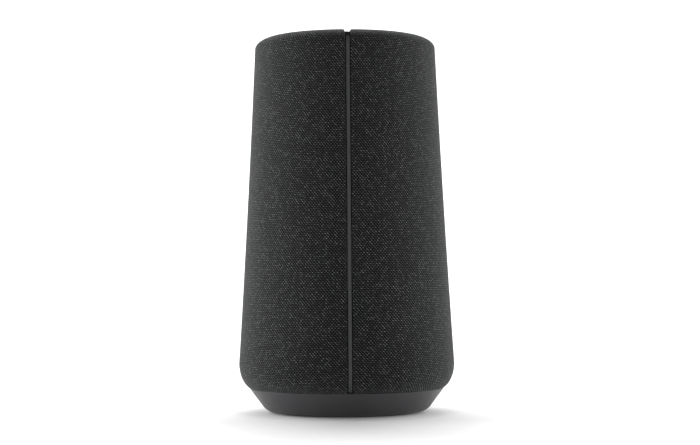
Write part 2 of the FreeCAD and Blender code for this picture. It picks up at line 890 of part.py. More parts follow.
def build_cabinet():
    shell = cabinet_wall_solid().cut(group(cabinet_screws(True))).cut(group(driver_screws(True)))
    save("cabinet_front", cabinet_half(shell, True))
    save("cabinet_rear", cabinet_half(shell, False))
    save("cabinet_gasket", cabinet_gasket(shell))
    save("cabinet_screws", group(cabinet_screws()))
    save("damping_pad", damping_pad())
    save("woofer_lead", woofer_lead())


def driver_screws(blank=False):
    """Four screws hold the woofer, four the tweeter and six the passive radiator."""
    woofer = flange_screws(4, 42.9, flange_z, 6.5, to_front, woofer_z, blank)
    tweeter = flange_screws(4, 22.2, 2.6, 5.6, to_front, tweeter_z, blank)
    radiator = flange_screws(6, 34.4, 2.4, 5.0, to_back, radiator_z, blank)
    return woofer + tweeter + radiator


def build_drivers():
    holes = group(driver_screws(True))
    save("woofer_basket", to_front(woofer_basket(), woofer_z).cut(holes))
    save("woofer_gasket", to_front(ring(woofer_hole_r, woofer_r, 0.0, gasket_thick), woofer_z).cut(holes))
    save("woofer_surround", to_front(half_roll(cone_out_r, cone_out_r + 2 * roll_r, flange_z, 2.4), woofer_z))
    save("woofer_cone", to_front(woofer_cone(), woofer_z))
    save("woofer_dust_cap", to_front(dust_cap(), woofer_z))
    save("voice_coil", to_front(voice_coil(), woofer_z))
    save("woofer_spider", to_front(spider(), woofer_z))
    save("woofer_top_plate", to_front(woofer_top_plate(), woofer_z))
    save("woofer_magnet", to_front(woofer_magnet(), woofer_z))
    save("woofer_yoke", to_front(woofer_yoke(), woofer_z))
    save("tweeter_plate", to_front(tweeter_plate(), tweeter_z).cut(holes))
    save("tweeter_surround", to_front(tweeter_surround(), tweeter_z))
    save("tweeter_dome", to_front(tweeter_dome(), tweeter_z))
    save("tweeter_coil", to_front(tweeter_coil(), tweeter_z))
    save("tweeter_motor", to_front(tweeter_motor(), tweeter_z))
    save("radiator_frame", to_back(radiator_frame(), radiator_z).cut(holes))
    save("radiator_surround", to_back(radiator_surround(), radiator_z))
    save("radiator_plate", to_back(radiator_plate(), radiator_z))
    save("driver_screws", group(driver_screws()))


def build_boards():
    save("main_board", main_board())
    save("main_board_parts", group(main_parts()))
    save("standoffs", group(standoffs()))
    save("heat_sink", heat_sink())
    save("antenna", antenna())
    save("ribbon_cable", ribbon_cable())
    save("key_board", key_board())
    save("key_switches", group(key_switches()))
    save("lamps", group(light_parts()))
    save("microphones", group(mic_parts()))
    save("mic_seals", group(mic_seals()))


def build_top():
    save("top_deck", top_deck())
    save("light_ring", light_ring())
    save("top_bezel", top_bezel())
    for name, x, y, radius in key_places():
        save(name, key(x, y, radius))


os.makedirs("parts", exist_ok=True)
build_housing()
build_power()
build_cabinet()
build_drivers()
build_boards()
build_top()
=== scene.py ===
import json
import math

import bmesh
import bpy
from bpy.props import FloatProperty, FloatVectorProperty, PointerProperty
from mathutils import Matrix, Vector


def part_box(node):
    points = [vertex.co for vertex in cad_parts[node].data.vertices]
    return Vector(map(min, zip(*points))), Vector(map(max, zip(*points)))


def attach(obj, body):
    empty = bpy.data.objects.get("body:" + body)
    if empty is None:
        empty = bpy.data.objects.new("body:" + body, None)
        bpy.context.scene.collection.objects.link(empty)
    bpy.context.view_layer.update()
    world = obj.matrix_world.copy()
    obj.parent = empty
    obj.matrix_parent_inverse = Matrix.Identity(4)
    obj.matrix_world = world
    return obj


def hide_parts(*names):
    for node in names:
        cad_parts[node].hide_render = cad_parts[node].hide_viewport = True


bl_info = {
    "name": "Round Smart Speaker",
    "version": (1, 0, 0),
    "blender": (4, 5, 0),
    "location": "3D Viewport > Sidebar > Speaker",
    "description": "Builds the sleeve, seam, skirt, deck and finishes of a tall round smart speaker",
    "category": "Object",
}

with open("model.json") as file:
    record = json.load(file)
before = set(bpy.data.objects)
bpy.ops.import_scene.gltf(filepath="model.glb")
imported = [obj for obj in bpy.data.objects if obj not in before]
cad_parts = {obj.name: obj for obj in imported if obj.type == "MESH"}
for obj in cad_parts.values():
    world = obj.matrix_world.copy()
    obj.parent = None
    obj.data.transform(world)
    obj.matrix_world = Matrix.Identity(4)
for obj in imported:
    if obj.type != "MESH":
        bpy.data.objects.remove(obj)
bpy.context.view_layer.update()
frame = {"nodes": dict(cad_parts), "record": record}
NODES = frame["nodes"]
MM = 0.001
KNIT_MEAN_R = 0.0665
SHELF_R = 53.5 * MM
MARK_REACH = 2.1 * MM
MARK_HALF = 0.28 * MM
PIECE_CREASE = math.radians(35)
PART_CREASE = math.radians(30)


# ---------------------------------------------------------------- sizes and colours

def node_radius(node):
    """Half of a round node's width."""
    low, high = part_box(node)
    return (high.x - low.x) / 2


SLEEVE_LOW, SLEEVE_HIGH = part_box("fabric_sleeve")
SKIRT_LOW, SKIRT_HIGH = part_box("base_skirt")


def length(name, description, default):
    return FloatProperty(name=name, description=description, default=default, unit="LENGTH", precision=5)


def angle_of(name, description, degrees):
    return FloatProperty(name=name, description=description, default=math.radians(degrees), subtype="ANGLE")


def colour(name, description, default):
    return FloatVectorProperty(name=name, description=description, default=default, size=3,
                               subtype="COLOR", min=0.0, max=1.0)


class SpeakerSizes(bpy.types.PropertyGroup):
    widest_z: length("Widest level", "Height of the sleeve's widest level", 0.0333)
    side_top_r: length("Top of side", "Radius where the side meets the rim's curve", 0.06085)
    side_top_z: length("Rim starts", "Height where the rim's curve starts", 0.2447)
    side_hollow: length("Side hollow", "How far the side is drawn in at its middle", 0.0005)
    rim_run: length("Rim run", "How far in the rim's curve reaches", 0.016)
    hem_turn: angle_of("Hem turn", "How far the sleeve's foot curves under", 68.8)
    hem_inset: length("Hem inset", "How far the hem stands in from the skirt's edge", 0.0005)
    hem_round: length("Hem rounding", "Radius of the hem's outer edge", 0.0004)
    hem_lift: length("Hem lift", "How far the knit's hem is drawn up off the skirt", 0.0003)
    sleeve_thick: length("Sleeve thickness", "Thickness of the knit", 0.0013)
    seam_slot: length("Seam slot", "Width of the slot in the sleeve", 0.0037)
    slot_roll: length("Slot roll", "Radius of the sleeve's edges along the slot", 0.0011)
    seam_rib: length("Seam rib", "Width of the plastic seam strip", 0.0026)
    rib_depth: length("Rib depth", "How deep the strip lies under the sleeve's outside", 0.0010)
    wale: length("Wale", "Width of one stitch", 0.00195)
    course: length("Course", "Height of one row of stitches", 0.00115)
    skirt_lean: angle_of("Skirt lean", "Slope of the skirt's side off upright", 36.5)
    skirt_foot_r: length("Skirt foot", "Radius of the skirt's lower edge", 0.0102)
    lip_rise: length("Lip rise", "How far the skirt's lip reaches up towards the hem", 0.00045)
    skirt_lip: length("Skirt lip", "Radius of the skirt's upper edge", 0.00055)


class SpeakerColours(bpy.types.PropertyGroup):
    yarn_dark: colour("Dark yarn", "Main colour of the knit", (0.038, 0.0395, 0.040))
    yarn_light: colour("Light yarn", "Flecks in the knit", (0.30, 0.309, 0.312))
    strip: colour("Seam strip", "Plastic of the seam strip", (0.052, 0.0535, 0.054))
    skirt: colour("Skirt", "Plastic of the skirt", (0.059, 0.059, 0.0625))
    deck: colour("Deck", "Plastic of the top deck", (0.02, 0.0205, 0.0215))
    key: colour("Keys", "Plastic of the keys", (0.034, 0.035, 0.037))
    mark: colour("Key marks", "Printed marks on the keys", (0.42, 0.43, 0.44))


class StageSettings(bpy.types.PropertyGroup):
    distance: length("Camera distance", "From the speaker's axis to the camera", 1.258)
    eye_height: length("Camera height", "Height of the camera over the table", 0.0987)
    turn: angle_of("Camera turn", "Turn of the view off the seam", 1.85)
    lens: FloatProperty(name="Lens", description="Focal length", default=95.7, unit="CAMERA")
    slide_x: FloatProperty(name="Framing across", description="Shift of the picture across", default=0.0058)
    slide_y: FloatProperty(name="Framing up", description="Shift of the picture up", default=0.0)
    roll: angle_of("Camera roll", "Roll of the camera", -0.34)
    tilt: angle_of("Camera tilt", "Upward tilt of the camera", 1.322)


def sizes():
    return bpy.context.scene.speaker_sizes


def colours():
    return bpy.context.scene.speaker_colours


def stage_settings():
    return bpy.context.scene.speaker_stage


# ---------------------------------------------------------------- the sleeve's outline

def inset_ellipse(centre, semi, angle, depth):
    """A point (r, z) on an ellipse, moved in along its normal."""
    normal = Vector((math.cos(angle) / semi[0], math.sin(angle) / semi[1])).normalized()
    point = Vector((centre[0] + semi[0] * math.cos(angle), centre[1] + semi[1] * math.sin(angle)))
    return point - normal * depth


def foot_points(depth, steps):
    """The sleeve's curve from its hem up to its widest level."""
    s = sizes()
    widest_r = node_radius("fabric_sleeve")
    hem_r = SKIRT_HIGH.x - s.hem_inset
    hem_z = SLEEVE_LOW.z
    semi = ((widest_r - hem_r) / (1 - math.cos(s.hem_turn)), (s.widest_z - hem_z) / math.sin(s.hem_turn))
    angles = [-s.hem_turn * (steps - step) / steps for step in range(steps + 1)]
    return [inset_ellipse((widest_r - semi[0], s.widest_z), semi, angle, depth) for angle in angles]


def rim_points(depth, steps):
    """The curve from the side over to the rim's crest."""
    s = sizes()
    rise = SLEEVE_HIGH.z - s.side_top_z
    lean = (node_radius("fabric_sleeve") - s.side_top_r) / (s.side_top_z - s.widest_z)
    first = math.atan(lean * rise / s.rim_run)
    angles = [first + (math.pi / 2 - first) * step / steps for step in range(steps + 1)]
    centre = (s.side_top_r - s.rim_run, s.side_top_z)
    return [inset_ellipse(centre, (s.rim_run, rise), angle, depth) for angle in angles]


def side_points(low, high, steps):
    """The tapering side between two points, drawn in a little at its middle."""
    points = []
    for step in range(1, steps):
        share = step / steps
        hollow = 4 * sizes().side_hollow * share * (1 - share)
        points.append(low.lerp(high, share) - Vector((hollow, 0)))
    return points


def wall_points(depth, foot=14, side=70, rim=18):
    """The whole wall line at a depth, from the hem to the rim's crest."""
    low = foot_points(depth, foot)
    high = rim_points(depth, rim)
    return low + side_points(low[-1], high[0], side) + high


def wall_rows():
    """The wall line as (point, inward normal), from the hem to the rim's crest."""
    outside = wall_points(0.0)
    deeper = wall_points(1 * MM)
    return [(point, (within - point).normalized()) for point, within in zip(outside, deeper)]


def arc_lengths(points):
    """How far along a line each of its points lies."""
    run = [0.0]
    for a, b in zip(points, points[1:]):
        run.append(run[-1] + (b - a).length)
    return run


# ---------------------------------------------------------------- mesh helpers

def new_piece(name, bm, body, material, replaced=()):
    """Makes a piece from a bmesh, gives it its finish and puts it on its body."""
    mesh = bpy.data.meshes.new(name)
    bm.normal_update()
    bm.to_mesh(mesh)
    bm.free()
    piece = bpy.data.objects.new(name, mesh)
    bpy.context.scene.collection.objects.link(piece)
    mesh.materials.append(material)
    for polygon in mesh.polygons:
        polygon.use_smooth = True
    mesh.set_sharp_from_angle(angle=PIECE_CREASE)
    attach(piece, body)
    if replaced:
        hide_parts(*replaced)
    return piece


def set_finish(node, material):
    """Gives a part of the frame its one finish and smooth shading."""
    mesh = NODES[node].data
    mesh.materials.clear()
    mesh.materials.append(material)
    for polygon in mesh.polygons:
        polygon.use_smooth = True
    mesh.set_sharp_from_angle(angle=PART_CREASE)


def add_face(bm, uv, corners, marks):
    """A face with one UV mark for each corner."""
    face = bm.faces.new(corners)
    for loop, mark in zip(face.loops, marks):
        loop[uv].uv = mark


def lathe(profile, segments):
    """A bmesh turned about Z from a closed loop of (r, z) points, with a UV of metres round and along."""
    bm = bmesh.new()
    uv = bm.loops.layers.uv.new("Path")
    points = [Vector(p) for p in profile]
    rows = []
    for step in range(segments):
        angle = 2 * math.pi * step / segments
        rows.append([bm.verts.new((p.x * math.cos(angle), p.x * math.sin(angle), p.y)) for p in points])
    run = arc_lengths(points + points[:1])
    arc = 2 * math.pi * sum(p.x for p in points) / len(points) / segments
    for step in range(segments):
        here = rows[step]
        there = rows[(step + 1) % segments]
        for k in range(len(points)):
            ahead = (k + 1) % len(points)
            marks = [(arc * (step + a), run[k + b]) for a, b in ((0, 0), (1, 0), (1, 1), (0, 1))]
            add_face(bm, uv, [here[k], there[k], there[ahead], here[ahead]], marks)
    return bm


def rounded_corner(corner, before, after, radius, steps):
    """Points of an arc that rounds one corner of an outline."""
    back = (before - corner).normalized()
    on = (after - corner).normalized()
    half = back.angle(on) / 2
    reach = radius / math.tan(half)
    centre = corner + (back + on).normalized() * (radius / math.sin(half))
    start = corner + back * reach - centre
    whole = start.angle_signed(corner + on * reach - centre)
    points = []
    for step in range(steps + 1):
        turned = start.copy()
        turned.rotate(Matrix.Rotation(-whole * step / steps, 2))
        points.append(centre + turned)
    return points


def cut_away(piece, low, high):
    """Cuts a box out of a piece and applies the cut."""
    bm = bmesh.new()
    centre = (Vector(low) + Vector(high)) / 2
    size = Vector(high) - Vector(low)
    bmesh.ops.create_cube(bm, size=1.0, matrix=Matrix.Translation(centre) @ Matrix.Diagonal((*size, 1.0)))
    mesh = bpy.data.meshes.new("cutter")
    bm.to_mesh(mesh)
    bm.free()
    cutter = bpy.data.objects.new("cutter", mesh)
    bpy.context.scene.collection.objects.link(cutter)
    modifier = piece.modifiers.new("cut", "BOOLEAN")
    modifier.operation = "DIFFERENCE"
    modifier.solver = "EXACT"
    modifier.object = cutter
    apply_modifiers(piece)
    bpy.data.objects.remove(cutter)
    bpy.data.meshes.remove(mesh)


def apply_modifiers(piece):
    """Bakes a piece's modifiers into its mesh."""
    graph = bpy.context.evaluated_depsgraph_get()
    mesh = bpy.data.meshes.new_from_object(piece.evaluated_get(graph))
    old = piece.data
    piece.modifiers.clear()
    piece.data = mesh
    bpy.data.meshes.remove(old)


# ---------------------------------------------------------------- material helpers

class Finish:
    """A material's node tree, with short ways to add and join its nodes."""

    def __init__(self, name):
        self.material = bpy.data.materials.new(name)
        self.material.use_nodes = True
        self.nodes = self.material.node_tree.nodes
        self.links = self.material.node_tree.links
        self.shader = self.nodes["Principled BSDF"]

    def add(self, kind, **values):
        node = self.nodes.new(kind)
        for name, value in values.items():
            setattr(node, name, value)
        return node

    def join(self, source, target):
        self.links.new(source, target)

    def feed(self, socket, value):
        if isinstance(value, bpy.types.NodeSocket):
            self.join(value, socket)
        else:
            socket.default_value = value

    def math(self, operation, a, b=0.0):
        node = self.add("ShaderNodeMath", operation=operation)
        self.feed(node.inputs[0], a)
        self.feed(node.inputs[1], b)
        return node.outputs[0]

    def mix(self, share, a, b):
        node = self.add("ShaderNodeMix", data_type="RGBA")
        self.feed(node.inputs["Factor"], share)
        self.feed(node.inputs["A"], rgba(a) if isinstance(a, (tuple, list)) else a)
        self.feed(node.inputs["B"], rgba(b) if isinstance(b, (tuple, list)) else b)
        return node.outputs["Result"]

    def scale(self, value, low, high, new_low, new_high):
        """A value's range from low to high, drawn out to a new one."""
        node = self.add("ShaderNodeMapRange")
        limits = {"From Min": low, "From Max": high, "To Min": new_low, "To Max": new_high}
        for name, number in limits.items():
            node.inputs[name].default_value = number
        self.join(value, node.inputs["Value"])
        return node.outputs["Result"]

    def spread(self, noise, new_low, new_high):
        """Noise, which lies mostly between 0.3 and 0.7, drawn out to a new range."""
        return self.scale(noise, 0.3, 0.7, new_low, new_high)

    def place(self):
        return self.add("ShaderNodeTexCoord").outputs["Object"]

    def noise(self, size, detail=3.0, roughness=0.55, at=None, stretch=None):
        """Noise whose features are about this size, in metres."""
        at = self.place() if at is None else at
        if stretch:
            mapping = self.add("ShaderNodeMapping")
            mapping.inputs["Scale"].default_value = stretch
            self.join(at, mapping.inputs["Vector"])
            at = mapping.outputs["Vector"]
        node = self.add("ShaderNodeTexNoise")
        node.inputs["Scale"].default_value = 1.0 / size
        node.inputs["Detail"].default_value = detail
        node.inputs["Roughness"].default_value = roughness
        self.join(at, node.inputs["Vector"])
        return node.outputs["Fac"]

    def bump(self, height, distance, strength):
        node = self.add("ShaderNodeBump")
        node.inputs["Strength"].default_value = strength
        node.inputs["Distance"].default_value = distance
        self.join(height, node.inputs["Height"])
        return node.outputs["Normal"]

    def set(self, **values):
        for name, value in values.items():
            self.feed(self.shader.inputs[name.replace("_", " ")], value)


def rgba(values):
    return (values[0], values[1], values[2], 1.0)


def tinted(values, factor):
    return tuple(min(1.0, v * factor) for v in values)


def moulded_plastic(name, values, roughness=0.45, grain=0.00035, depth=0.00002, wear=0.12, gloss=0.45):
    """Satin moulded plastic: a fine spark-eroded grain, faint flow marks and slightly polished high spots."""
    f = Finish(name)
    grains = f.noise(grain, detail=4.0, roughness=0.6)
    flow = f.noise(0.02, detail=2.0)
    handled = f.noise(0.006, detail=5.0, roughness=0.65)
    base = f.mix(flow, tinted(values, 1 - wear), tinted(values, 1 + wear))
    base = f.mix(f.scale(grains, 0.35, 0.7, 0.0, 0.35), base, tinted(values, 0.8))
    rough = f.spread(handled, roughness - 0.05, roughness + 0.06)
    f.set(Base_Color=base, Roughness=rough, Normal=f.bump(grains, depth, 0.55))
    f.shader.inputs["Specular IOR Level"].default_value = gloss
    return f.material


def flocked_black(name, values):
    """Dull black paint over a coarse moulded texture, so that nothing glints in the sleeve's slot."""
    f = Finish(name)
    coarse = f.noise(0.0007, detail=4.0, roughness=0.6)
    base = f.mix(f.spread(coarse, 0.0, 1.0), tinted(values, 0.6), tinted(values, 1.6))
    rough = f.spread(coarse, 0.88, 1.0)
    f.set(Base_Color=base, Roughness=rough, Normal=f.bump(coarse, 0.00008, 0.7))
    f.shader.inputs["Specular IOR Level"].default_value = 0.05
    return f.material


def rubber(name, values, roughness=0.75):
    """Matt rubber with a dusty bloom and a fine pitted skin."""
    f = Finish(name)
    pits = f.noise(0.0005, detail=5.0, roughness=0.7)
    bloom = f.noise(0.008, detail=4.0)
    base = f.mix(f.scale(bloom, 0.4, 0.75, 0.0, 0.6), values, tinted(values, 1.9))
    rough = f.spread(bloom, roughness - 0.08, roughness + 0.1)
    f.set(Base_Color=base, Roughness=rough, Normal=f.bump(pits, 0.00004, 0.6))
    f.shader.inputs["Specular IOR Level"].default_value = 0.3
    return f.material


def turned_metal(name, values, roughness=0.32, scratch=(1.0, 1.0, 14.0)):
    """Metal with fine tool marks drawn out along one direction and a few dull patches."""
    f = Finish(name)
    marks = f.noise(0.0012, detail=6.0, roughness=0.7, stretch=scratch)
    dull = f.noise(0.005, detail=3.0)
    base = f.mix(dull, tinted(values, 0.85), tinted(values, 1.1))
    streaks = f.spread(marks, roughness - 0.08, roughness + 0.08)
    rough = f.math("ADD", streaks, f.scale(dull, 0.4, 0.8, 0.0, 0.1))
    f.set(Base_Color=base, Roughness=rough, Normal=f.bump(marks, 0.000015, 0.5))
    f.shader.inputs["Metallic"].default_value = 1.0
    return f.material


def circuit_laminate(name, values):
    """Green solder mask over a grid of tracks, with plated pads."""
    f = Finish(name)
    brick = f.add("ShaderNodeTexBrick")
    brick.inputs["Scale"].default_value = 220.0
    brick.inputs["Mortar Size"].default_value = 0.012
    brick.inputs["Color1"].default_value = rgba(values)
    brick.inputs["Color2"].default_value = rgba(tinted(values, 1.35))
    brick.inputs["Mortar"].default_value = rgba(tinted(values, 0.6))
    f.join(f.place(), brick.inputs["Vector"])
    pads = f.add("ShaderNodeTexVoronoi")
    pads.inputs["Scale"].default_value = 260.0
    f.join(f.place(), pads.inputs["Vector"])
    pad = f.math("LESS_THAN", pads.outputs["Distance"], 0.16)
    base = f.mix(pad, brick.outputs["Color"], (0.7, 0.62, 0.42))
    rough = f.spread(f.noise(0.002), 0.25, 0.4)
    f.set(Base_Color=base, Roughness=rough, Normal=f.bump(brick.outputs["Fac"], 0.00004, 0.4))
    return f.material


def moulded_part(name, values):
    """Dark component bodies, matt with a satin sheen, each a slightly different tone."""
    f = Finish(name)
    blocks = f.noise(0.007, detail=1.0)
    fine = f.noise(0.0006, detail=4.0)
    base = f.mix(blocks, tinted(values, 0.6), tinted(values, 2.2))
    f.set(Base_Color=base, Roughness=f.spread(fine, 0.42, 0.6), Normal=f.bump(fine, 0.00003, 0.4))
    return f.material


def pressed_paper(name, values):
    """Pressed pulp: fibres in all directions, matt."""
    f = Finish(name)
    fibres = f.noise(0.0009, detail=8.0, roughness=0.75, stretch=(1.0, 3.0, 1.0))
    base = f.mix(f.scale(fibres, 0.4, 0.7, 0.0, 1.0), values, tinted(values, 2.4))
    rough = f.spread(fibres, 0.78, 0.95)
    f.set(Base_Color=base, Roughness=rough, Normal=f.bump(fibres, 0.0001, 0.7))
    return f.material


def woven_cloth(name, values, pitch=0.0007):
    """A plain weave of crossing threads for the small inner cloth parts."""
    f = Finish(name)
    split = f.add("ShaderNodeSeparateXYZ")
    f.join(f.place(), split.inputs[0])
    warp = f.math("SINE", f.math("MULTIPLY", split.outputs["X"], 2 * math.pi / pitch))
    weft = f.math("SINE", f.math("MULTIPLY", split.outputs["Z"], 2 * math.pi / pitch))
    weave = f.math("MULTIPLY", warp, weft)
    base = f.mix(f.scale(weave, -1.0, 1.0, 0.0, 1.0), tinted(values, 0.55), tinted(values, 1.2))
    rough = f.spread(f.noise(0.002), 0.8, 0.95)
    f.set(Base_Color=base, Roughness=rough, Normal=f.bump(weave, 0.00008, 0.6))
    return f.material


def light_guide(name):
    """Milky diffuser for the light ring, with a faint mottled haze."""
    f = Finish(name)
    haze = f.noise(0.003, detail=3.0)
    base = f.mix(haze, (0.5, 0.52, 0.54), (0.68, 0.7, 0.72))
    f.set(Base_Color=base, Roughness=f.spread(haze, 0.3, 0.45), Normal=f.bump(haze, 0.00003, 0.4))
    f.shader.inputs["Transmission Weight"].default_value = 0.15
    f.shader.inputs["IOR"].default_value = 1.49
    return f.material


def knit(name):
    """The sleeve's knit: slanted floats in offset rows, melange yarn, painted shade that darkens each float
    towards its edges and makes the gaps between floats near black, and a soft fuzz.
    """
    s = sizes()
    c = colours()
    wander_by = 0.9
    slant = -0.45
    half_width = 0.32
    half_height = 0.37
    fleck_share = 0.60
    batch_share = 0.20
    f = Finish(name)
    flat = f.add("ShaderNodeUVMap", uv_map="Knit").outputs["UV"]
    split = f.add("ShaderNodeSeparateXYZ")
    f.join(flat, split.inputs[0])
    wander = f.noise(0.007, detail=3.0, at=flat)
    drift = f.math("MULTIPLY", f.math("SUBTRACT", wander, 0.5), wander_by)
    across = f.math("ADD", f.math("DIVIDE", split.outputs["X"], s.wale), drift)
    up = f.math("ADD", f.math("DIVIDE", split.outputs["Y"], s.course), drift)
    row = f.math("FLOOR", up)
    in_row = f.math("SUBTRACT", f.math("SUBTRACT", up, row), 0.5)
    shifted = f.math("ADD", across, f.math("MULTIPLY", row, 0.5))
    slanted = f.math("ADD", shifted, f.math("MULTIPLY", in_row, slant))
    stitch = f.math("FLOOR", slanted)
    in_stitch = f.math("SUBTRACT", f.math("SUBTRACT", slanted, stitch), 0.5)
    reach_x = f.math("POWER", f.math("ABSOLUTE", f.math("DIVIDE", in_stitch, half_width)), 2.0)
    reach_y = f.math("POWER", f.math("ABSOLUTE", f.math("DIVIDE", in_row, half_height)), 2.0)
    dome = f.math("MAXIMUM", f.math("SUBTRACT", 1.0, f.math("ADD", reach_x, reach_y)), 0.0)
    float_height_and_shade = f.math("POWER", dome, 0.6)
    which = f.add("ShaderNodeCombineXYZ")
    f.join(stitch, which.inputs[0])
    f.join(row, which.inputs[1])
    each = f.add("ShaderNodeTexWhiteNoise", noise_dimensions="2D")
    f.join(which.outputs[0], each.inputs["Vector"])
    fibre = f.noise(0.00025, detail=4.0, roughness=0.7, at=flat, stretch=(0.35, 1.0, 1.0))
    batch = f.noise(0.02, detail=3.0, at=flat)
    fleck = f.math("POWER", each.outputs["Value"], 3.0)
    tone = f.math("ADD", f.math("MULTIPLY", fleck, fleck_share), f.math("MULTIPLY", batch, batch_share))
    tone = f.math("MULTIPLY", tone, f.spread(fibre, 0.55, 1.25))
    yarn = f.mix(tone, c.yarn_dark[:], c.yarn_light[:])
    # Painted shade: the colour falls from the yarn's at each float's crown to near black at its edges and in
    # the gaps between the floats.
    base = f.mix(float_height_and_shade, tinted(c.yarn_dark, 0.03), yarn)
    height = f.math("ADD", float_height_and_shade, f.math("MULTIPLY", fibre, 0.25))
    f.set(Base_Color=base, Roughness=f.spread(fibre, 0.82, 0.97), Normal=f.bump(height, 0.00032, 0.8))
    f.shader.inputs["Specular IOR Level"].default_value = 0.25
    f.shader.inputs["Sheen Weight"].default_value = 0.12
    f.shader.inputs["Sheen Roughness"].default_value = 0.45
    f.shader.inputs["Sheen Tint"].default_value = (0.9, 0.93, 0.95, 1.0)
    return f.material


# ---------------------------------------------------------------- sleeve and seam

def sleeve_rows():
    """Stations up the sleeve: (outside point, inward normal), from the hem over the rim and down its tuck."""
    rows = wall_rows()
    tuck_gap = 0.2 * MM
    crest = rows[-1][0]
    roll = crest.x - node_radius("top_bezel") - tuck_gap
    roll_steps = 8
    for step in range(1, roll_steps + 1):
        angle = math.pi / 2 * step / roll_steps
        point = crest + Vector((-math.sin(angle), math.cos(angle) - 1)) * roll
        rows.append((point, Vector((math.sin(angle), -math.cos(angle)))))
    tuck_top = rows[-1][0]
    for drop in (0.75 * MM, 1.5 * MM, 2.25 * MM):
        rows.append((tuck_top - Vector((0.0, drop)), Vector((1.0, 0.0))))
    return rows


def with_hem(rows, steps=4):
    """The stations again as (point, inward normal, depth), with the hem lifted and its outer edge rounded."""
    s = sizes()
    start, inward = rows[0]
    up = (rows[1][0] - start).normalized()
    hem = []
    for step in range(steps + 1):
        turn = math.pi / 2 * step / steps
        rise = s.hem_lift + s.hem_round * (1 - math.cos(turn))
        hem.append((start + up * rise, inward, s.hem_round * (1 - math.sin(turn))))
    return hem + [(point, normal, 0.0) for point, normal in rows[1:]]


def slot_edge(steps=6):
    """The sleeve's rolled edge beside the slot, from the inside out: (distance from the slot, depth)."""
    s = sizes()
    turns = [math.pi / 2 * step / steps for step in range(steps)]
    roll = [(s.slot_roll * (1 - math.cos(turn)), s.slot_roll * (1 - math.sin(turn))) for turn in turns]
    return [(0.0, s.sleeve_thick)] + roll


def slit_ring(radius, around=300):
    """Places round the sleeve from one edge of the slot to the other: (turn from the back, depth)."""
    first_turn = math.asin(sizes().seam_slot / 2 / radius)
    edge_run = 0.4 * MM
    edge = [(first_turn + distance / radius, depth) for distance, depth in slot_edge()]
    start = edge[-1][0] + edge_run / radius
    body = [(start + (2 * math.pi - 2 * start) * k / around, 0.0) for k in range(around + 1)]
    far_edge = [(2 * math.pi - turn, depth) for turn, depth in reversed(edge)]
    return edge + body + far_edge


def ring_vert(bm, point, turn):
    """A vertex at a radius and height, turned from the back of the speaker."""
    return bm.verts.new((point.x * math.sin(turn), point.x * math.cos(turn), point.y))


def knit_sleeve():
    """The closed shell of the sleeve: outside, rolled slot edges, hem, tuck and inside."""
    s = sizes()
    bm = bmesh.new()
    uv = bm.loops.layers.uv.new("Knit")
    rows = with_hem(sleeve_rows())
    run = arc_lengths([point for point, _, _ in rows])
    outer = []
    inner = []
    turns = []
    for point, inward, hem_depth in rows:
        ring = slit_ring(point.x)
        outer.append([ring_vert(bm, point + inward * max(depth, hem_depth), turn) for turn, depth in ring])
        inner.append([ring_vert(bm, point + inward * s.sleeve_thick, turn) for turn, _ in ring])
        turns.append([turn for turn, _ in ring])

    def quad(*corners):
        """One face, from corners of (side, row, column)."""
        verts = [side[i][k] for side, i, k in corners]
        add_face(bm, uv, verts, [(turns[i][k] * KNIT_MEAN_R, run[i]) for _, i, k in corners])

    top = len(rows) - 1
    columns = range(len(turns[0]) - 1)
    for i in range(top):
        for k in columns:
            quad((outer, i, k), (outer, i, k + 1), (outer, i + 1, k + 1), (outer, i + 1, k))
            quad((inner, i + 1, k), (inner, i + 1, k + 1), (inner, i, k + 1), (inner, i, k))
    for i in (0, top):
        for k in columns:
            quad((outer, i, k), (outer, i, k + 1), (inner, i, k + 1), (inner, i, k))
    bmesh.ops.remove_doubles(bm, verts=bm.verts, dist=0.01 * MM)
    bmesh.ops.recalc_face_normals(bm, faces=bm.faces)
    return bm


def strip_section():
    """The strip's section as (across, depth) points, with softened edges and a low crown."""
    half = sizes().seam_rib / 2
    edge_r = 0.35 * MM
    crown = 0.05 * MM
    back_depth = 2.6 * MM
    side = [(half, back_depth), (half, edge_r)]
    for turn in (0.5, 1.0, 1.4):
        side.append((half - edge_r * (1 - math.cos(turn)), edge_r * (1 - math.sin(turn))))
    side.append((half / 2, -0.6 * crown))
    return [(-x, depth) for x, depth in side] + [(0.0, -crown)] + side[::-1]


def strip_stations():
    """Places up the strip, from the hem to its top: (point on its face, inward normal)."""
    top_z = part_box("seam_strip")[1].z
    line = [(point + inward * sizes().rib_depth, inward) for point, inward in wall_rows()]
    return [(at, inward) for at, inward in line if at.y <= top_z]


def seam_bar():
    """The strip: a crowned bar that follows the wall and thins to a tongue at its foot."""
    section = strip_section()
    stations = strip_stations()
    tongue_depth = 0.45 * MM
    tongue_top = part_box("seam_strip")[0].z + 3.6 * MM
    bm = bmesh.new()
    uv = bm.loops.layers.uv.new("Along")
    rings = []
    for at, inward in stations:
        deepest = tongue_depth if at.y <= tongue_top else math.inf
        ring = []
        for x, depth in section:
            point = at + inward * min(depth, deepest)
            ring.append(bm.verts.new((x, math.sqrt(point.x ** 2 - x ** 2), point.y)))
        rings.append(ring)
    run = arc_lengths([at for at, _ in stations])
    for i in range(len(rings) - 1):
        for k in range(len(section)):
            ahead = (k + 1) % len(section)
            corners = ((i, k), (i, ahead), (i + 1, ahead), (i + 1, k))
            add_face(bm, uv, [rings[a][b] for a, b in corners], [(section[b][0], run[a]) for a, b in corners])
    for ring in (rings[0], rings[-1]):
        bm.faces.new(ring)
    bmesh.ops.recalc_face_normals(bm, faces=bm.faces)
    return bm


# ---------------------------------------------------------------- base

